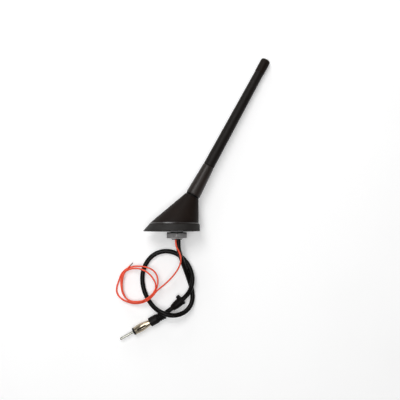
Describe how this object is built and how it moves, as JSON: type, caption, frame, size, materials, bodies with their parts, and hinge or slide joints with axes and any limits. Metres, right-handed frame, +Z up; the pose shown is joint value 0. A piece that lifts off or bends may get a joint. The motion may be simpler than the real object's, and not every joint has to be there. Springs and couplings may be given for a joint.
{
  "type": "roof antenna",
  "caption": "Car roof antenna with a leaning screw-on rubber mast on a conical base, a roof nut, a coiled power lead and a coax lead with a plug, lying on its side.",
  "frame": {"origin": "on the axis of the hollow stud, in the plane where the gasket's lip meets the roof", "axes": "the antenna lies on its side: +Z is up from the surface it lies on, +Y runs close to the roof's outward normal, from the nut to the mast, and +X is the way the mast leans"},
  "size_m": [0.1733, 0.3162, 0.0398],
  "materials": {
    "cover_plastic": "fine grained, satin black",
    "whip_rubber": "smooth moulded black rubber",
    "gasket_rubber": "matt black rubber",
    "zinc_nut": "grey zinc plated, satin",
    "dark_washer": "phosphated, dark",
    "cast_plate": "die cast, dull",
    "brass": "turned brass",
    "copper": "enamelled copper wire",
    "glass_fibre": "pale, translucent",
    "board_laminate": "green solder resist",
    "tinplate": "tin plated",
    "screw_steel": "zinc plated",
    "coax_jacket": "glossy black jacket",
    "red_wire": "red insulation, satin",
    "tinned_strands": "tinned copper strands",
    "boot_rubber": "soft black rubber, slight sheen",
    "plug_plastic": "black moulding",
    "nickel": "bright nickel",
    "insulator_plastic": "black moulding"
  },
  "bodies": {
    "base": {"base_cover": "cover_plastic", "base_gasket": "gasket_rubber", "base_plate": "cast_plate", "mast_socket": "brass", "amplifier_board": "board_laminate", "amplifier_can": "tinplate", "board_screws": "screw_steel", "cover_screws": "screw_steel", "socket_contact": "brass", "cable_gland": "gasket_rubber", "coax_tail": "coax_jacket", "power_tail": "red_wire", "coax_lead": "coax_jacket", "power_lead": "red_wire", "power_coil": "red_wire", "power_end": "red_wire", "tinned_end": "tinned_strands", "cable_boot": "boot_rubber", "plug_relief": "boot_rubber", "plug_cap": "plug_plastic", "plug_barrel": "nickel", "plug_core": "nickel", "plug_insulator": "insulator_plastic", "plug_pin": "nickel"},
    "seal": {"mast_seal": "gasket_rubber"},
    "mast": {"mast_ferrule": "whip_rubber", "mast_stud": "screw_steel", "mast_core_rod": "glass_fibre", "mast_winding": "copper", "mast_sheath": "whip_rubber", "mast_tip_cap": "cover_plastic"},
    "washer": {"lock_washer": "dark_washer"},
    "nut": {"roof_nut": "zinc_nut"}
  },
  "joints": [
    {"name": "mast_lift", "type": "slide", "parent": "base", "child": "seal", "axis": [0.4756, 0.877, -0.0676], "range_m": [0, 0.008]},
    {"name": "mast_turn", "type": "hinge", "parent": "seal", "child": "mast", "pos_m": [0.0168, 0.03849, -0.00297], "axis": [0.4756, 0.877, -0.0676], "range_deg": [0, 3600]},
    {"name": "nut_drop", "type": "slide", "parent": "base", "child": "washer", "axis": [0, -0.997, 0.0768], "range_m": [-0.001, 0.004]},
    {"name": "nut_turn", "type": "hinge", "parent": "washer", "child": "nut", "pos_m": [0, 0, 0], "axis": [0, -0.997, 0.0768], "range_deg": [-360, 1440]}
  ],
  "couplings": [
    {"joint": "mast_turn", "follows": "mast_lift", "rad_per_m": 7854},
    {"joint": "nut_turn", "follows": "nut_drop", "rad_per_m": 6283.2}
  ]
}
